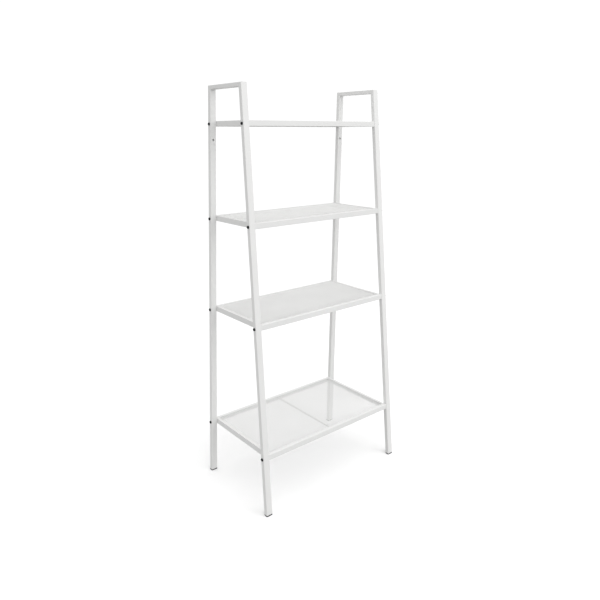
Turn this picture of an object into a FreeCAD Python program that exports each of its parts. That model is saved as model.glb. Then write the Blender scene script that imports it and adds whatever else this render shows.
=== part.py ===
"""Ladder shelf: two raked side frames of rectangular steel tube and four bolted mesh shelves.

Millimetres. X runs along the shelves, Y from the front to the back (the wall side) and Z up.
The origin is on the floor, in the middle of the footprint.
"""
import FreeCAD, Part
import math
import os

import Sketcher

SIZES = {
    # whole object
    "width": 680,
    "height": 1480,
    "depth_bottom": 350,
    "depth_top": 191,
    # frame tube, its wide side facing the front
    "tube_wide": 25,
    "tube_deep": 15,
    "tube_wall": 1,
    "tube_round": 2,
    # plastic foot: a base under the tube and a plug inside it
    "foot_base": 4,
    "foot_plug": 18,
    "plug_gap": 0.15,
    # top faces of the four shelves above the floor
    "bottom_shelf": 214,
    "lower_shelf": 670,
    "upper_shelf": 1016,
    "top_shelf": 1357,
    # folded shelf rim: outer web, top flange and bottom lip
    "rim_tall": 20,
    "rim_flange": 12,
    "rim_lip": 6,
    "rim_sheet": 1,
    "rim_bend": 1.6,
    "front_inset": 0.5,
    "rear_inset": 2,
    # mesh panel under the flanges: a plain sheet in the top of the wire mesh's full height
    "mesh_thick": 0.36,
    "mesh_tall": 1.3,
    "mesh_gap": 0.8,
    # stiffener under the mesh
    "brace_wide": 3,
    "brace_tall": 5,
    # bolts through the tubes into weld nuts on the shelf ends
    "bolt_drop": 11,
    "bolt_hole": 3.25,
    "shank_radius": 3,
    "head_radius": 5.25,
    "head_tall": 3.2,
    "head_round": 1.2,
    "socket_radius": 2.3,
    "socket_deep": 1.8,
    "thread_past_nut": 2,
    "nut_radius": 5.6,
    "nut_tall": 5,
    "nut_bore": 3.05,
    # wall fixing holes through the rear legs
    "wall_hole": 3.5,
    "wall_hole_up": 1290,
}
SHELVES = ("bottom_shelf", "lower_shelf", "upper_shelf", "top_shelf")
SIDES = {"left": -1, "right": 1}
LONG_EDGE = 100

RAKE = "((Sizes.depth_bottom - Sizes.depth_top) / Sizes.height)"
HALF_DEPTH = "(Sizes.depth_bottom / 2)"
RAKED_DEEP = f"(Sizes.tube_deep * sqrt(1 + {RAKE}^2))"
RAKED_WALL = f"(Sizes.tube_wall * sqrt(1 + {RAKE}^2))"
FRAME_X = "((Sizes.width - Sizes.tube_wide) / 2)"
SHELF_LONG = "(Sizes.width - 2 * Sizes.tube_wide)"

doc = FreeCAD.newDocument("LadderShelf")
sheet = doc.addObject("Spreadsheet::Sheet", "Sizes")
parts = []


def fill_sheet():
    for row, (alias, value) in enumerate(SIZES.items(), start=1):
        sheet.set(f"A{row}", alias)
        sheet.set(f"B{row}", str(value))
        sheet.setAlias(f"B{row}", alias)
    doc.recompute()


def bind(thing, **expressions):
    """Bind properties to the sheet; a double underscore in a name stands for a dot."""
    for name, expression in expressions.items():
        thing.setExpression(name.replace("__", "."), expression)


def keep(thing, label):
    thing.Label = label
    parts.append(thing)
    return thing


# ---- expressions for places on the frame and the shelves


def front_line(height):
    """Y of the front legs' front face at a height."""
    return f"(-{HALF_DEPTH} + {RAKE} * ({height}))"


def shelf_front(shelf):
    return f"({front_line(f'Sizes.{shelf}')} + Sizes.front_inset)"


def shelf_rear():
    return f"({HALF_DEPTH} - Sizes.rear_inset)"


def shelf_middle(shelf):
    return f"(({shelf_front(shelf)} + {shelf_rear()}) / 2)"


def shelf_deep(shelf):
    return f"({shelf_rear()} - {shelf_front(shelf)})"


def bolt_height(shelf):
    return f"(Sizes.{shelf} - Sizes.bolt_drop)"


def bolt_depths(shelf):
    """Y of the front and of the rear bolt, each on its leg's centre line."""
    front = f"({front_line(bolt_height(shelf))} + {RAKED_DEEP} / 2)"
    rear = f"({HALF_DEPTH} - Sizes.tube_deep / 2)"
    return front, rear


# ---- sketch helpers


def new_sketch(body, name, role):
    sketch = body.newObject("Sketcher::SketchObject", name)
    face = next(f for f in body.Origin.OriginFeatures if f.Role == role)
    sketch.AttachmentSupport = [(face, "")]
    sketch.MapMode = "FlatFace"
    return sketch


def pin_point(sketch, geometry, point, across, up):
    """Hold one point of the sketch at two expressions."""
    for kind, expression in (("DistanceX", across), ("DistanceY", up)):
        value = float(sketch.evalExpression(expression))
        index = sketch.addConstraint(Sketcher.Constraint(kind, -1, 1, geometry, point, value))
        sketch.setExpression(f"Constraints[{index}]", expression)


def draw_polygon(sketch, corners):
    first = sketch.GeometryCount
    count = len(corners)
    spots = [
        FreeCAD.Vector(float(sketch.evalExpression(x)), float(sketch.evalExpression(y)), 0)
        for x, y in corners
    ]
    for i in range(count):
        sketch.addGeometry(Part.LineSegment(spots[i], spots[(i + 1) % count]), False)
    for i in range(count):
        following = first + (i + 1) % count
        sketch.addConstraint(Sketcher.Constraint("Coincident", first + i, 2, following, 1))
    for i, (x, y) in enumerate(corners):
        pin_point(sketch, first + i, 1, x, y)


def draw_circle(sketch, across, up, radius):
    centre = FreeCAD.Vector(
        float(sketch.evalExpression(across)), float(sketch.evalExpression(up)), 0
    )
    size = float(sketch.evalExpression(radius))
    circle = sketch.addGeometry(Part.Circle(centre, FreeCAD.Vector(0, 0, 1), size), False)
    pin_point(sketch, circle, 3, across, up)
    index = sketch.addConstraint(Sketcher.Constraint("Radius", circle, size))
    sketch.setExpression(f"Constraints[{index}]", radius)


def pad_both_ways(body, sketch, length):
    pad = body.newObject("PartDesign::Pad", "Pad")
    pad.Profile = sketch
    pad.Midplane = True
    bind(pad, Length=length)
    sketch.Visibility = False
    return pad


def cut_both_ways(body, sketch, length=None):
    """Pocket on both sides of the sketch: through everything, or over a length."""
    pocket = body.newObject("PartDesign::Pocket", "Pocket")
    pocket.Profile = sketch
    pocket.Midplane = True
    if length is None:
        pocket.Type = "ThroughAll"
    else:
        bind(pocket, Length=length)
    before = body.Shape.Volume
    doc.recompute()
    if not pocket.Shape.Volume < before:
        raise RuntimeError(f"{body.Label}: a pocket cuts nothing")
    return pocket


def round_edges(body, feature, radius, wanted):
    doc.recompute()
    names = [
        f"Edge{i}" for i, edge in enumerate(feature.Shape.Edges, start=1) if wanted(edge)
    ]
    fillet = body.newObject("PartDesign::Fillet", "Round")
    fillet.Base = (feature, names)
    bind(fillet, Radius=radius)
    doc.recompute()
    return fillet


def is_long(edge):
    return edge.Length > LONG_EDGE


# ---- side frames


def frame_tube(label, side, outline, inside, bolt_spots=(), wall_fixing=False):
    """A hollow mitred tube, from its outline and its hollow in the side view."""
    body = doc.addObject("PartDesign::Body", label)
    shape = new_sketch(body, "Outline", "YZ_Plane")
    draw_polygon(shape, outline)
    pad = pad_both_ways(body, shape, "Sizes.tube_wide")
    round_edges(body, pad, "Sizes.tube_round", is_long)
    hollow = new_sketch(body, "Hollow", "YZ_Plane")
    draw_polygon(hollow, inside)
    cut_both_ways(body, hollow, "Sizes.tube_wide - 2 * Sizes.tube_wall")
    if bolt_spots:
        holes = new_sketch(body, "BoltHoles", "YZ_Plane")
        for depth, height in bolt_spots:
            draw_circle(holes, depth, height, "Sizes.bolt_hole")
        cut_both_ways(body, holes)
    if wall_fixing:
        hole = new_sketch(body, "WallHole", "XZ_Plane")
        draw_circle(hole, "0", "Sizes.wall_hole_up", "Sizes.wall_hole")
        cut_both_ways(body, hole)
    bind(body, Placement__Base__x=f"{side} * {FRAME_X}")
    return keep(body, label)


def rear_leg(name, side):
    back, front = HALF_DEPTH, f"{HALF_DEPTH} - Sizes.tube_deep"
    outline = [
        (back, "Sizes.foot_base"),
        (back, "Sizes.height"),
        (front, "Sizes.height - Sizes.tube_deep"),
        (front, "Sizes.foot_base"),
    ]
    inside = [
        (f"{back} - Sizes.tube_wall", "0"),
        (f"{back} - Sizes.tube_wall", "Sizes.height"),
        (f"{front} + Sizes.tube_wall", "Sizes.height"),
        (f"{front} + Sizes.tube_wall", "0"),
    ]
    spots = [(bolt_depths(shelf)[1], bolt_height(shelf)) for shelf in SHELVES]
    return frame_tube(f"{name}_rear_leg", side, outline, inside, spots, wall_fixing=True)


def front_leg(name, side):
    low, high, inner = "Sizes.foot_base", "Sizes.height", "Sizes.height - Sizes.tube_deep"
    outline = [
        (front_line(low), low),
        (front_line(high), high),
        (f"{front_line(inner)} + {RAKED_DEEP}", inner),
        (f"{front_line(low)} + {RAKED_DEEP}", low),
    ]
    near, far = RAKED_WALL, f"{RAKED_DEEP} - {RAKED_WALL}"
    inside = [
        (f"{front_line('0')} + {near}", "0"),
        (f"{front_line(high)} + {near}", high),
        (f"{front_line(high)} + {far}", high),
        (f"{front_line('0')} + {far}", "0"),
    ]
    spots = [(bolt_depths(shelf)[0], bolt_height(shelf)) for shelf in SHELVES]
    return frame_tube(f"{name}_front_leg", side, outline, inside, spots)


def top_rail(name, side):
    inner = "Sizes.height - Sizes.tube_deep"
    outline = [
        (front_line("Sizes.height"), "Sizes.height"),
        (HALF_DEPTH, "Sizes.height"),
        (f"{HALF_DEPTH} - Sizes.tube_deep", inner),
        (f"{front_line(inner)} + {RAKED_DEEP}", inner),
    ]
    inside = [
        (f"-{HALF_DEPTH}", "Sizes.height - Sizes.tube_wall"),
        (HALF_DEPTH, "Sizes.height - Sizes.tube_wall"),
        (HALF_DEPTH, f"{inner} + Sizes.tube_wall"),
        (f"-{HALF_DEPTH}", f"{inner} + Sizes.tube_wall"),
    ]
    return frame_tube(f"{name}_top_rail", side, outline, inside)


def foot(label, side, front_face, deep, wall):
    """A plastic insert: front_face gives the leg's front face at a height."""
    body = doc.addObject("PartDesign::Body", label)
    base = new_sketch(body, "Base", "YZ_Plane")
    draw_polygon(base, [
        (front_face("0"), "0"),
        (front_face("Sizes.foot_base"), "Sizes.foot_base"),
        (f"{front_face('Sizes.foot_base')} + {deep}", "Sizes.foot_base"),
        (f"{front_face('0')} + {deep}", "0"),
    ])
    base_pad = pad_both_ways(body, base, "Sizes.tube_wide")
    round_edges(body, base_pad, "Sizes.tube_round", stands_up)
    low, high = "Sizes.foot_base", "Sizes.foot_base + Sizes.foot_plug"
    near = f"{wall} + Sizes.plug_gap"
    far = f"{deep} - {wall} - Sizes.plug_gap"
    plug = new_sketch(body, "Plug", "YZ_Plane")
    draw_polygon(plug, [
        (f"{front_face(low)} + {near}", low),
        (f"{front_face(high)} + {near}", high),
        (f"{front_face(high)} + {far}", high),
        (f"{front_face(low)} + {far}", low),
    ])
    pad_both_ways(body, plug, "Sizes.tube_wide - 2 * Sizes.tube_wall - 2 * Sizes.plug_gap")
    bind(body, Placement__Base__x=f"{side} * {FRAME_X}")
    return keep(body, label)


def stands_up(edge):
    ends = [vertex.Point for vertex in edge.Vertexes]
    return abs(ends[0].z - ends[1].z) > edge.Length / 2


def upright_line(_height):
    """Y of the rear legs' front face, the same at every height."""
    return f"({HALF_DEPTH} - Sizes.tube_deep)"


def side_frame(name, side):
    rear_leg(name, side)
    front_leg(name, side)
    top_rail(name, side)
    foot(f"{name}_rear_foot", side, upright_line, "Sizes.tube_deep", "Sizes.tube_wall")
    foot(f"{name}_front_foot", side, front_line, RAKED_DEEP, RAKED_WALL)


# ---- shelves


def is_outer_bend(edge):
    return is_long(edge) and all(abs(vertex.Point.y) < 0.01 for vertex in edge.Vertexes)


def rim(label, length, turn, place, bolt_spots=()):
    """A folded rim. Its own Y points into the shelf, its top is at its own Z of 0."""
    body = doc.addObject("PartDesign::Body", label)
    profile = new_sketch(body, "Profile", "YZ_Plane")
    thick, low = "Sizes.rim_sheet", "-Sizes.rim_tall"
    draw_polygon(profile, [
        ("0", "0"),
        ("Sizes.rim_flange", "0"),
        ("Sizes.rim_flange", f"-{thick}"),
        (thick, f"-{thick}"),
        (thick, f"{low} + {thick}"),
        ("Sizes.rim_lip", f"{low} + {thick}"),
        ("Sizes.rim_lip", low),
        ("0", low),
    ])
    pad = pad_both_ways(body, profile, length)
    round_edges(body, pad, "Sizes.rim_bend", is_outer_bend)
    mitre = new_sketch(body, "Mitre", "XY_Plane")
    reach = "(Sizes.rim_flange + 1)"
    for end in ("", "-"):
        draw_polygon(mitre, [
            (f"{end}({length} / 2)", "0"),
            (f"{end}({length} / 2 + 1)", "0"),
            (f"{end}({length} / 2 + 1)", reach),
            (f"{end}({length} / 2 - {reach})", reach),
        ])
    cut_both_ways(body, mitre)
    if bolt_spots:
        holes = new_sketch(body, "BoltHoles", "XZ_Plane")
        for along in bolt_spots:
            draw_circle(holes, along, "-Sizes.bolt_drop", "Sizes.bolt_hole")
        cut_both_ways(body, holes)
    body.Placement.Rotation = FreeCAD.Rotation(FreeCAD.Vector(0, 0, 1), turn)
    for axis, expression in zip("xyz", place):
        body.setExpression(f"Placement.Base.{axis}", expression)
    return keep(body, label)


def mesh_panel(shelf):
    panel = doc.addObject("Part::Box", f"{shelf}_mesh")
    margin = "(Sizes.rim_sheet + Sizes.mesh_gap)"
    bind(
        panel,
        Length=f"{SHELF_LONG} - 2 * {margin}",
        Width=f"{shelf_deep(shelf)} - 2 * {margin}",
        Height="Sizes.mesh_thick",
        Placement__Base__x=f"-{SHELF_LONG} / 2 + {margin}",
        Placement__Base__y=f"{shelf_front(shelf)} + {margin}",
        Placement__Base__z=f"Sizes.{shelf} - Sizes.rim_sheet - Sizes.mesh_thick",
    )
    return keep(panel, f"{shelf}_mesh")


def brace(shelf):
    bar = doc.addObject("Part::Box", f"{shelf}_brace")
    under_mesh = f"Sizes.{shelf} - Sizes.rim_sheet - Sizes.mesh_tall"
    bind(
        bar,
        Length="Sizes.brace_wide",
        Width=f"{shelf_deep(shelf)} - 2 * Sizes.rim_sheet",
        Height="Sizes.brace_tall",
        Placement__Base__x="-Sizes.brace_wide / 2",
        Placement__Base__y=f"{shelf_front(shelf)} + Sizes.rim_sheet",
        Placement__Base__z=f"{under_mesh} - Sizes.brace_tall",
    )
    return keep(bar, f"{shelf}_brace")


def across(kind, name, **sizes):
    """A primitive that lies along X."""
    thing = doc.addObject(kind, name)
    thing.Placement.Rotation = FreeCAD.Rotation(FreeCAD.Vector(0, 1, 0), 90)
    bind(thing, **sizes)
    return thing


def set_place(thing, x, y, height):
    bind(thing, Placement__Base__x=x, Placement__Base__y=y, Placement__Base__z=height)


def bolt(name, side, y, height):
    """A domed socket screw from outside the tube to past the weld nut."""
    outer = "(Sizes.width / 2)"
    inner = "(Sizes.width / 2 - Sizes.tube_wide - Sizes.rim_sheet - Sizes.nut_tall)"
    shank_long = f"({outer} - {inner} + Sizes.thread_past_nut)"
    shank = across("Part::Cylinder", f"{name}_shank", Radius="Sizes.shank_radius")
    head = across("Part::Cylinder", f"{name}_head", Radius="Sizes.head_radius")
    socket = across("Part::Prism", f"{name}_socket", Circumradius="Sizes.socket_radius")
    bind(shank, Height=shank_long)
    bind(head, Height="Sizes.head_tall")
    bind(socket, Height="Sizes.socket_deep")
    if side < 0:
        set_place(head, f"-{outer} - Sizes.head_tall", y, height)
        set_place(shank, f"-{outer}", y, height)
        set_place(socket, f"-{outer} - Sizes.head_tall", y, height)
    else:
        set_place(head, outer, y, height)
        set_place(shank, f"{outer} - {shank_long}", y, height)
        set_place(socket, f"{outer} + Sizes.head_tall - Sizes.socket_deep", y, height)
    doc.recompute()
    dome = doc.addObject("Part::Fillet", f"{name}_dome")
    dome.Base = head
    rim_edge = max(
        range(len(head.Shape.Edges)),
        key=lambda i: outward(head.Shape.Edges[i], side),
    )
    dome.Edges = [(rim_edge + 1, SIZES["head_round"], SIZES["head_round"])]
    joined = doc.addObject("Part::Fuse", f"{name}_solid")
    joined.Base = dome
    joined.Tool = shank
    screw = doc.addObject("Part::Cut", name)
    screw.Base = joined
    screw.Tool = socket
    return screw


def outward(edge, side):
    """How far out a round edge lies, and far in for a straight one."""
    if edge.Length < 2 * math.pi * SIZES["shank_radius"]:
        return -math.inf
    return side * edge.CenterOfMass.x


def weld_nut(name, side, y, height):
    web_inside = "(Sizes.width / 2 - Sizes.tube_wide - Sizes.rim_sheet)"
    hexagon = across("Part::Prism", f"{name}_hexagon", Circumradius="Sizes.nut_radius")
    bore = across("Part::Cylinder", f"{name}_bore", Radius="Sizes.nut_bore")
    start = f"-{web_inside}" if side < 0 else f"{web_inside} - Sizes.nut_tall"
    for thing in (hexagon, bore):
        bind(thing, Height="Sizes.nut_tall")
        set_place(thing, start, y, height)
    nut = doc.addObject("Part::Cut", name)
    nut.Base = hexagon
    nut.Tool = bore
    return nut


def fastener_group(label, make, shelf):
    """Four alike fasteners of one shelf, as one group of separate solids."""
    group = doc.addObject("Part::Compound", label)
    group.Links = [
        make(f"{label}_{name}_{where}", side, depth, bolt_height(shelf))
        for name, side in SIDES.items()
        for where, depth in zip(("front", "rear"), bolt_depths(shelf))
    ]
    return keep(group, label)


def shelf_unit(shelf):
    top, middle = f"Sizes.{shelf}", shelf_middle(shelf)
    deep = shelf_deep(shelf)
    rim(f"{shelf}_front_rim", SHELF_LONG, 0, ("0", shelf_front(shelf), top))
    rim(f"{shelf}_rear_rim", SHELF_LONG, 180, ("0", shelf_rear(), top))
    for name, side in SIDES.items():
        along = [f"{side} * ({depth} - {middle})" for depth in bolt_depths(shelf)]
        place = (f"{side} * {SHELF_LONG} / 2", middle, top)
        rim(f"{shelf}_{name}_end", deep, side * 90, place, along)
    mesh_panel(shelf)
    brace(shelf)
    fastener_group(f"{shelf}_bolts", bolt, shelf)
    fastener_group(f"{shelf}_nuts", weld_nut, shelf)


# ---- whole object


def check():
    for thing in doc.Objects:
        if {"Invalid", "Error"} & set(thing.State):
            raise RuntimeError(f"{thing.Label}: {thing.State}")
    for part in parts:
        if part.Shape.isNull() or not part.Shape.isValid():
            raise RuntimeError(f"{part.Label}: bad shape")


def write():
    os.makedirs("parts", exist_ok=True)
    for part in parts:
        part.Shape.exportStep(f"parts/{part.Label}.step")
        solids = len(part.Shape.Solids)
        print(f"{part.Label}: {solids} solid(s), {part.Shape.Volume / 1000:.2f} cm3")


def main():
    fill_sheet()
    for name, side in SIDES.items():
        side_frame(name, side)
    for shelf in SHELVES:
        shelf_unit(shelf)
    doc.recompute()
    check()
    write()


main()
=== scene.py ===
"""Ladder shelf in white powder-coated steel, with four expanded-mesh shelves."""

import math

import bpy
from mathutils import Matrix, Vector, noise


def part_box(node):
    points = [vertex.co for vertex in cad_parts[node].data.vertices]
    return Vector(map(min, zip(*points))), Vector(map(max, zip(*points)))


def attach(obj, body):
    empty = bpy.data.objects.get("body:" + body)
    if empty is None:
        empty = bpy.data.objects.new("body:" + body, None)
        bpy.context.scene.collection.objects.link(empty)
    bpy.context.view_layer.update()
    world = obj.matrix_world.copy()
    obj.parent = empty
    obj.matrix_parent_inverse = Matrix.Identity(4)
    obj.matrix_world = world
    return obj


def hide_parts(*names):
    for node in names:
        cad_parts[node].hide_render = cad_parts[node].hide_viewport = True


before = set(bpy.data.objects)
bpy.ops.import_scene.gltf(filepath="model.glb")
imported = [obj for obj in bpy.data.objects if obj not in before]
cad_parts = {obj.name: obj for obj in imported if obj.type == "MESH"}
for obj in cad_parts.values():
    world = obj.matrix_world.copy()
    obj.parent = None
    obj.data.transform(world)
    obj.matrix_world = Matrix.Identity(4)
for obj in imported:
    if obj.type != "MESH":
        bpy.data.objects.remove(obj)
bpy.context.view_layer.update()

bl_info = {
    "name": "Ladder shelf",
    "version": (1, 0, 0),
    "blender": (4, 5, 0),
    "location": "3D View > Sidebar > Ladder shelf",
    "description": "Finishes, mesh panels, welds and stage of a steel ladder shelf",
    "category": "Object",
}

MM = 0.001
SHELVES = ("bottom_shelf", "lower_shelf", "upper_shelf", "top_shelf")
SIDES = ("left", "right")
RIMS = ("front_rim", "rear_rim", "left_end", "right_end", "brace")

# where most values of a noise texture lie
NOISE_LOW, NOISE_HIGH = 0.3, 0.7

# half the distance between two strands' middles at a turn, as a part of their width
HALF_BOND = 0.35

# corner welds: rings along a weld and points round its face
WELD_RINGS, WELD_FACE_POINTS = 26, 8
# even and uneven ripple of a weld, as parts of its size, and how fast they change
WELD_RIPPLE, WELD_RIPPLE_TURN = 0.06, 1.9
WELD_UNEVEN, WELD_UNEVEN_STEP, WELD_UNEVEN_PLACE = 0.05, 0.7, 40
WELD_UNEVEN_ROW = 3
# size of a weld at its two ends, and the rings over which it reaches its full size
WELD_TIP, WELD_TIP_RINGS = 0.35, 3
# how far the face is hollowed, as a part of the size
WELD_HOLLOW = 0.3
# how far a weld is sunk into the tubes, and how much shorter it is than the rail is wide
WELD_BITE = 0.4 * MM
WELD_SHORTER = 3 * MM

# studio floor: half its width in metres, and the squares along each side
FLOOR_REACH, FLOOR_SQUARES = 30.0, 6


# ---- sizes and colours


class LADDER_PG_sizes(bpy.types.PropertyGroup):
    mesh_long_way: bpy.props.FloatProperty(
        name="Mesh long way",
        description="Pitch of the mesh diamonds along the shelf",
        default=8.0 * MM, min=2.0 * MM, unit="LENGTH", precision=4,
    )
    mesh_short_way: bpy.props.FloatProperty(
        name="Mesh short way",
        description="Pitch of the mesh diamonds from front to back",
        default=5.0 * MM, min=1.5 * MM, unit="LENGTH", precision=4,
    )
    strand_width: bpy.props.FloatProperty(
        name="Strand width",
        description="Width of one strand of the mesh, seen from above",
        default=0.7 * MM, min=0.2 * MM, unit="LENGTH", precision=5,
    )
    strand_lean: bpy.props.FloatProperty(
        name="Strand lean",
        description="How far the top of a strand leans towards the front",
        default=0.4 * MM, min=0.0, unit="LENGTH", precision=5,
    )
    weld_leg: bpy.props.FloatProperty(
        name="Weld leg",
        description="Size of the fillet weld inside each corner of the side frames",
        default=3.2 * MM, min=0.5 * MM, unit="LENGTH", precision=4,
    )


class LADDER_PG_colours(bpy.types.PropertyGroup):
    powder_coat: bpy.props.StringProperty(
        name="Powder coat", description="Colour of the coated steel, as sRGB hex",
        default="E3E3E2",
    )
    # painted light: the mesh has the same white powder coat as the frame, drawn lighter to make
    # up for the shade that falls between its strands
    mesh_coat: bpy.props.StringProperty(
        name="Mesh coat", description="Colour of the coated mesh, as sRGB hex", default="F7F7F6",
    )
    foot_plastic: bpy.props.StringProperty(
        name="Foot plastic", description="Colour of the moulded feet, as sRGB hex",
        default="1C1C1D",
    )
    black_oxide: bpy.props.StringProperty(
        name="Black oxide", description="Colour of the bolts, as sRGB hex", default="2B2B2D",
    )
    zinc: bpy.props.StringProperty(
        name="Zinc", description="Colour of the weld nuts, as sRGB hex", default="C4C7CA",
    )
    floor: bpy.props.StringProperty(
        name="Floor", description="Colour of the studio floor, as sRGB hex", default="FEFEFE",
    )


# ---- materials


def linear(hex_colour, shade=1.0):
    """sRGB hex to a linear colour, made lighter or darker by a factor."""
    channels = []
    for start in (0, 2, 4):
        value = int(hex_colour[start:start + 2], 16) / 255
        value = value / 12.92 if value <= 0.04045 else ((value + 0.055) / 1.055) ** 2.4
        channels.append(min(value * shade, 1.0))
    return (*channels, 1.0)


def add_node(tree, kind, inputs=None, **settings):
    """Add a node with its settings; an input takes a value or another node's output."""
    node = tree.nodes.new(kind)
    for name, value in settings.items():
        setattr(node, name, value)
    for name, value in (inputs or {}).items():
        if isinstance(value, bpy.types.NodeSocket):
            tree.links.new(value, node.inputs[name])
        else:
            node.inputs[name].default_value = value
    return node


def per_metre(wave_mm):
    """Texture scale that repeats about once in this many millimetres."""
    return 1 / (wave_mm * MM)


def finish_material(name, colour, shades, tone_mm, grain_mm, roughness, bump, fixed):
    """Surface whose tone and roughness drift slowly and whose grain stands up as a bump.

    shades and roughness are low and high ends, tone_mm and grain_mm real sizes, bump the
    grain's height in millimetres, and fixed the sockets that are the same all over.
    """
    material = bpy.data.materials.new(name)
    material.use_nodes = True
    tree = material.node_tree
    tree.nodes.clear()
    place = add_node(tree, "ShaderNodeTexCoord").outputs["Object"]
    drift = add_node(
        tree, "ShaderNodeTexNoise",
        {"Vector": place, "Scale": per_metre(tone_mm), "Detail": 3.0, "Roughness": 0.5},
    ).outputs["Fac"]
    grain = add_node(
        tree, "ShaderNodeTexNoise",
        {"Vector": place, "Scale": per_metre(grain_mm), "Detail": 2.0, "Roughness": 0.45},
    ).outputs["Fac"]
    tone = add_node(tree, "ShaderNodeValToRGB", {"Fac": drift})
    tone.color_ramp.elements[0].position = NOISE_LOW
    tone.color_ramp.elements[0].color = linear(colour, shades[0])
    tone.color_ramp.elements[1].position = NOISE_HIGH
    tone.color_ramp.elements[1].color = linear(colour, shades[1])
    gloss = add_node(
        tree, "ShaderNodeMapRange",
        {
            "Value": grain, "From Min": NOISE_LOW, "From Max": NOISE_HIGH,
            "To Min": roughness[0], "To Max": roughness[1],
        },
    )
    relief = add_node(
        tree, "ShaderNodeBump",
        {"Height": grain, "Strength": 1.0, "Distance": bump * MM},
    )
    shader = add_node(
        tree, "ShaderNodeBsdfPrincipled",
        {
            "Base Color": tone.outputs["Color"],
            "Roughness": gloss.outputs["Result"],
            "Normal": relief.outputs["Normal"],
            **fixed,
        },
    )
    add_node(tree, "ShaderNodeOutputMaterial", {"Surface": shader.outputs["BSDF"]})
    return material


def satin_powder_coat(name, colour):
    """Polyester powder sprayed on steel and baked: satin, faintly dimpled like orange peel.

    The dimples are about 2 mm apart and too fine to show, so they are drawn 5 mm apart.
    """
    return finish_material(
        name, colour, shades=(0.975, 1.01), tone_mm=140, grain_mm=5,
        roughness=(0.40, 0.50), bump=0.02, fixed={"Metallic": 0.0, "IOR": 1.5},
    )


def moulded_polyethylene(colour):
    """Black polyethylene moulded in a spark-eroded tool: dull, with a fine even grain.

    The grain is about 0.3 mm and too fine to show, so it is drawn 1.5 mm wide.
    """
    return finish_material(
        "moulded_black_polyethylene", colour, shades=(0.85, 1.25), tone_mm=18, grain_mm=1.5,
        roughness=(0.52, 0.66), bump=0.03, fixed={"Metallic": 0.0, "IOR": 1.51},
    )


def black_oxide_steel(colour):
    """Steel blackened in a hot bath and oiled: dark, half-dull metal of an uneven tone."""
    return finish_material(
        "black_oxide_steel", colour, shades=(0.8, 1.3), tone_mm=6, grain_mm=1.2,
        roughness=(0.38, 0.52), bump=0.01, fixed={"Metallic": 1.0},
    )


def zinc_plated_steel(colour):
    """Bright zinc plated on pressed steel: pale cool metal, slightly cloudy."""
    return finish_material(
        "zinc_plated_steel", colour, shades=(0.82, 1.05), tone_mm=5, grain_mm=1.5,
        roughness=(0.28, 0.42), bump=0.01, fixed={"Metallic": 1.0},
    )


def coat_node(node, material):
    """Give a carried-over part its finish in every material slot."""
    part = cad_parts[node]
    if not part.material_slots:
        raise RuntimeError(f"{node} has no material slot")
    for part_slot in part.material_slots:
        part_slot.material = material


# ---- pieces


def add_piece(name, vertices, faces, material):
    """Make a mesh piece that belongs to the shelf's only body."""
    mesh = bpy.data.meshes.new(name)
    mesh.from_pydata(vertices, [], faces)
    mesh.validate()
    mesh.update()
    mesh.materials.append(material)
    piece = bpy.data.objects.new(name, mesh)
    bpy.context.scene.collection.objects.link(piece)
    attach(piece, "root")
    return piece


def add_tube_of_rings(vertices, faces, rings):
    """Join rings of four or more points into one closed skin with flat ends."""
    start = len(vertices)
    sides = len(rings[0])
    for ring in rings:
        vertices.extend(ring)
    for step in range(len(rings) - 1):
        near = start + step * sides
        far = near + sides
        for side in range(sides):
            turn = (side + 1) % sides
            faces.append((near + side, near + turn, far + turn, far + side))
    last = start + (len(rings) - 1) * sides
    faces.append(tuple(start + side for side in reversed(range(sides))))
    faces.append(tuple(last + side for side in range(sides)))


def mesh_panel(shelf, sizes, material):
    """Expanded-metal sheet: zigzag strands that meet their neighbours at every turn."""
    low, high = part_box(f"{shelf}_mesh")
    brace_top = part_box(f"{shelf}_brace")[1].z
    half_long = sizes.mesh_long_way / 2
    half_short = sizes.mesh_short_way / 2
    columns = int((high.x - low.x) / half_long)
    rows = int((high.y - low.y) / half_short)
    if columns < 2 or rows < 1:
        raise RuntimeError(f"the mesh diamonds are too large for {shelf}")
    first_x = (low.x + high.x - columns * half_long) / 2
    first_y = (low.y + high.y - rows * half_short) / 2
    # strands overlap a little at a turn, where the real sheet is uncut
    swing = half_short / 2 - HALF_BOND * sizes.strand_width
    half_width = sizes.strand_width / 2
    half_lean = sizes.strand_lean / 2
    vertices, faces = [], []
    for row in range(rows):
        middle = first_y + (row + 0.5) * half_short
        rings = []
        for column in range(columns + 1):
            x = first_x + column * half_long
            y = middle + (swing if (row + column) % 2 else -swing)
            rings.append((
                (x, y - half_width + half_lean, brace_top),
                (x, y + half_width + half_lean, brace_top),
                (x, y + half_width - half_lean, high.z),
                (x, y - half_width - half_lean, high.z),
            ))
        add_tube_of_rings(vertices, faces, rings)
    panel = add_piece(
        f"{shelf}_expanded_mesh", vertices, faces, material,
    )
    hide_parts(f"{shelf}_mesh")


def tube_depth(side):
    """Depth of the frame tube, read from the upright rear leg."""
    low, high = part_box(f"{side}_rear_leg")
    return high.y - low.y


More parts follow.
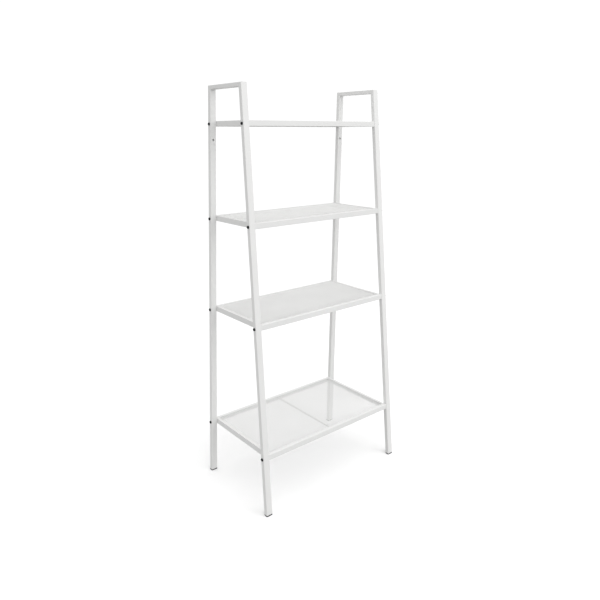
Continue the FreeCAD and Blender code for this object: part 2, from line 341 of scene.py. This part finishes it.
def corner_weld(name, corner, reach, width, leg, material):
    """Fillet weld across a tube's width.

    reach is +1 or -1, towards the open side of the corner.
    """
    vertices, faces, rings = [], [], []
    for step in range(WELD_RINGS + 1):
        x = corner.x - width / 2 + width * step / WELD_RINGS
        spot = Vector((step * WELD_UNEVEN_STEP, corner.y * WELD_UNEVEN_PLACE, WELD_UNEVEN_ROW))
        even = WELD_RIPPLE * math.sin(step * WELD_RIPPLE_TURN)
        ripple = 1 + even + WELD_UNEVEN * noise.noise(spot)
        from_end = min(step, WELD_RINGS - step)
        ends = min(1.0, WELD_TIP + (1 - WELD_TIP) * from_end / WELD_TIP_RINGS)
        size = leg * ripple * ends
        ring = [(x, corner.y - reach * WELD_BITE, corner.z + WELD_BITE)]
        for turn in range(WELD_FACE_POINTS + 1):
            angle = math.pi / 2 * turn / WELD_FACE_POINTS
            belly = 1 - WELD_HOLLOW * math.sin(2 * angle)
            ring.append((
                x,
                corner.y + reach * size * math.sin(angle) * belly,
                corner.z - size * math.cos(angle) * belly,
            ))
        rings.append(ring if reach > 0 else ring[::-1])
    add_tube_of_rings(vertices, faces, rings)
    weld = add_piece(name, vertices, faces, material)
    for polygon in weld.data.polygons:
        polygon.use_smooth = len(polygon.vertices) == 4


# ---- operators


class LADDER_OT_side_frames(bpy.types.Operator):
    """Coat the tubes of the two side frames"""
    bl_idname = "ladder.side_frames"
    bl_label = "Side frames"

    def execute(self, context):
        colour = context.scene.ladder_colours.powder_coat
        coat = satin_powder_coat("white_satin_powder_coat", colour)
        for side in SIDES:
            for tube in ("rear_leg", "front_leg", "top_rail"):
                coat_node(f"{side}_{tube}", coat)
        return {"FINISHED"}


class LADDER_OT_shelf_rims(bpy.types.Operator):
    """Coat the folded rims and the stiffeners of the four shelves"""
    bl_idname = "ladder.shelf_rims"
    bl_label = "Shelf rims"

    def execute(self, context):
        colour = context.scene.ladder_colours.powder_coat
        coat = satin_powder_coat("white_rim_powder_coat", colour)
        for shelf in SHELVES:
            for rim in RIMS:
                coat_node(f"{shelf}_{rim}", coat)
        return {"FINISHED"}


class LADDER_OT_mesh_panels(bpy.types.Operator):
    """Make the four expanded-metal shelf panels"""
    bl_idname = "ladder.mesh_panels"
    bl_label = "Mesh panels"

    def execute(self, context):
        # painted light: the mesh's coat is a lighter copy of the frame's, making up for the shade
        # between the strands
        colour = context.scene.ladder_colours.mesh_coat
        coat = satin_powder_coat("white_mesh_powder_coat_painted_light", colour)
        for shelf in SHELVES:
            coat_node(f"{shelf}_mesh", coat)
            mesh_panel(shelf, context.scene.ladder_sizes, coat)
        return {"FINISHED"}


class LADDER_OT_corner_welds(bpy.types.Operator):
    """Make the fillet welds between the top rails and the legs"""
    bl_idname = "ladder.corner_welds"
    bl_label = "Corner welds"

    def execute(self, context):
        leg = context.scene.ladder_sizes.weld_leg
        colour = context.scene.ladder_colours.powder_coat
        coat = satin_powder_coat("white_weld_powder_coat", colour)
        for side in SIDES:
            rail_low, rail_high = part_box(f"{side}_top_rail")
            rear_low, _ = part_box(f"{side}_rear_leg")
            front_low, front_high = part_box(f"{side}_front_leg")
            width = (rail_high.x - rail_low.x) - WELD_SHORTER
            middle = (rail_low.x + rail_high.x) / 2
            # the front leg's back face at the rail's underside, from the leg's rake
            rake = (front_high.y - front_low.y - tube_depth(side)) / (front_high.z - front_low.z)
            front_back = front_high.y - rake * (front_high.z - rail_low.z)
            corner_weld(
                f"{side}_rear_corner_weld", Vector((middle, rear_low.y, rail_low.z)),
                -1, width, leg, coat,
            )
            corner_weld(
                f"{side}_front_corner_weld", Vector((middle, front_back, rail_low.z)),
                1, width, leg, coat,
            )
        return {"FINISHED"}


class LADDER_OT_feet(bpy.types.Operator):
    """Finish the four moulded feet"""
    bl_idname = "ladder.feet"
    bl_label = "Feet"

    def execute(self, context):
        plastic = moulded_polyethylene(context.scene.ladder_colours.foot_plastic)
        for side in SIDES:
            for place in ("rear_foot", "front_foot"):
                coat_node(f"{side}_{place}", plastic)
        return {"FINISHED"}


class LADDER_OT_fasteners(bpy.types.Operator):
    """Finish the bolts and the weld nuts"""
    bl_idname = "ladder.fasteners"
    bl_label = "Bolts and nuts"

    def execute(self, context):
        oxide = black_oxide_steel(context.scene.ladder_colours.black_oxide)
        zinc = zinc_plated_steel(context.scene.ladder_colours.zinc)
        for shelf in SHELVES:
            coat_node(f"{shelf}_bolts", oxide)
            coat_node(f"{shelf}_nuts", zinc)
        return {"FINISHED"}


CAMERA_PLACE = Vector((-1.47929, -1.49641, 1.31805))
CAMERA_YAW, CAMERA_PITCH, CAMERA_ROLL = 35.4456, -9.7636, -0.1430
CAMERA_LENS = 33.477
CAMERA_SHIFT = (0.13373, -0.12)
# soft light all round, stronger from above and from the front
LIGHT_LEVEL = 0.72
LIGHT_SLOPE = (0.0, -0.17, 0.52)
# the backdrop as the camera sees it, apart from the light that it gives
BACKDROP_LEVEL = 1.05
# name, place, aimed at, width, height, power in watts
LIGHTS = (
    ("overhead_softbox", (0.2, -2.2, 4.2), (0.0, 0.0, 0.7), 4.0, 4.0, 30.0),
    ("front_right_softbox", (2.6, -3.6, 2.2), (0.0, 0.0, 0.7), 2.4, 2.4, 25.0),
)


def add_floor(colour):
    """Wide level floor with a painted finish, so the horizon melts into the background."""
    points, faces = [], []
    for row in range(FLOOR_SQUARES + 1):
        for column in range(FLOOR_SQUARES + 1):
            x = FLOOR_REACH * (2 * column / FLOOR_SQUARES - 1)
            y = FLOOR_REACH * (2 * row / FLOOR_SQUARES - 1)
            points.append((x, y, 0.0))
    for row in range(FLOOR_SQUARES):
        for column in range(FLOOR_SQUARES):
            corner = row * (FLOOR_SQUARES + 1) + column
            above = corner + FLOOR_SQUARES + 1
            faces.append((corner, corner + 1, above + 1, above))
    mesh = bpy.data.meshes.new("studio_floor")
    mesh.from_pydata(points, [], faces)
    mesh.materials.append(finish_material(
        "matt_floor_paint", colour, shades=(0.995, 1.0), tone_mm=900, grain_mm=12,
        roughness=(0.85, 0.95), bump=0.02,
        fixed={"Metallic": 0.0, "IOR": 1.45, "Specular IOR Level": 0.1},
    ))
    floor = bpy.data.objects.new("studio_floor", mesh)
    bpy.context.scene.collection.objects.link(floor)
    # diffuse light passes through the floor, so undersides meet the dim light from below
    # and stay in shade
    floor.visible_diffuse = False


def add_light(name, place, aim, width, height, power):
    """Rectangular softbox aimed at a point."""
    light = bpy.data.lights.new(name, "AREA")
    light.shape = "RECTANGLE"
    light.size, light.size_y, light.energy = width, height, power
    lamp = bpy.data.objects.new(name, light)
    lamp.location = place
    lamp.rotation_euler = (Vector(aim) - Vector(place)).to_track_quat("-Z", "Y").to_euler()
    bpy.context.scene.collection.objects.link(lamp)


def add_camera():
    """Camera in front and to the left, a little above the top shelf."""
    yaw, pitch, roll = map(math.radians, (CAMERA_YAW, CAMERA_PITCH, CAMERA_ROLL))
    ahead = Vector((
        math.sin(yaw) * math.cos(pitch), math.cos(yaw) * math.cos(pitch), math.sin(pitch),
    ))
    level_right = Vector((math.cos(yaw), -math.sin(yaw), 0.0))
    level_up = level_right.cross(ahead)
    right = math.cos(roll) * level_right + math.sin(roll) * level_up
    up = -math.sin(roll) * level_right + math.cos(roll) * level_up
    lens = bpy.data.cameras.new("camera")
    lens.sensor_width, lens.lens = 36.0, CAMERA_LENS
    lens.shift_x, lens.shift_y = CAMERA_SHIFT
    lens.dof.use_dof = False
    lens.clip_start, lens.clip_end = 0.05, 100.0
    camera = bpy.data.objects.new("camera", lens)
    turned = Matrix((right, up, -ahead)).transposed().to_4x4()
    camera.matrix_world = Matrix.Translation(CAMERA_PLACE) @ turned
    bpy.context.scene.collection.objects.link(camera)
    bpy.context.scene.camera = camera


class LADDER_OT_stage(bpy.types.Operator):
    """Make the floor, the soft lights and the camera"""
    bl_idname = "ladder.stage"
    bl_label = "Stage"

    def execute(self, context):
        scene = context.scene
        add_floor(scene.ladder_colours.floor)
        for light in LIGHTS:
            add_light(*light)
        add_camera()
        world = bpy.data.worlds.new("studio_light")
        world.use_nodes = True
        tree = world.node_tree
        tree.nodes.clear()
        seen = add_node(tree, "ShaderNodeLightPath").outputs["Is Camera Ray"]
        way = add_node(tree, "ShaderNodeTexCoord").outputs["Generated"]
        slope = add_node(
            tree, "ShaderNodeVectorMath", {0: way, 1: LIGHT_SLOPE}, operation="DOT_PRODUCT",
        ).outputs["Value"]
        soft = add_node(
            tree, "ShaderNodeMath", {0: slope, 1: LIGHT_LEVEL}, operation="ADD",
        ).outputs["Value"]
        strength = add_node(
            tree, "ShaderNodeMapRange", {"Value": seen, "To Min": soft, "To Max": BACKDROP_LEVEL},
        ).outputs["Result"]
        glow = add_node(
            tree, "ShaderNodeBackground", {"Color": (1, 1, 1, 1), "Strength": strength},
        )
        add_node(tree, "ShaderNodeOutputWorld", {"Surface": glow.outputs["Background"]})
        scene.world = world
        scene.view_settings.view_transform = "Standard"
        return {"FINISHED"}


STEPS = (
    LADDER_OT_side_frames,
    LADDER_OT_shelf_rims,
    LADDER_OT_mesh_panels,
    LADDER_OT_corner_welds,
    LADDER_OT_feet,
    LADDER_OT_fasteners,
    LADDER_OT_stage,
)


class LADDER_PT_panel(bpy.types.Panel):
    """Pieces of the ladder shelf and their sizes and colours"""
    bl_idname = "LADDER_PT_panel"
    bl_label = "Ladder shelf"
    bl_space_type = "VIEW_3D"
    bl_region_type = "UI"
    bl_category = "Ladder shelf"

    def draw(self, context):
        for group in (context.scene.ladder_sizes, context.scene.ladder_colours):
            box = self.layout.box()
            for name in group.__annotations__:
                box.prop(group, name)
        for step in STEPS:
            self.layout.operator(step.bl_idname)


CLASSES = (LADDER_PG_sizes, LADDER_PG_colours, *STEPS, LADDER_PT_panel)


def register():
    for kind in CLASSES:
        bpy.utils.register_class(kind)
    bpy.types.Scene.ladder_sizes = bpy.props.PointerProperty(type=LADDER_PG_sizes)
    bpy.types.Scene.ladder_colours = bpy.props.PointerProperty(type=LADDER_PG_colours)


def unregister():
    del bpy.types.Scene.ladder_colours
    del bpy.types.Scene.ladder_sizes
    for kind in reversed(CLASSES):
        bpy.utils.unregister_class(kind)


def main():
    register()
    for step in STEPS:
        area, name = step.bl_idname.split(".")
        getattr(getattr(bpy.ops, area), name)()
    bpy.context.view_layer.update()


if __name__ == "__main__":
    main()
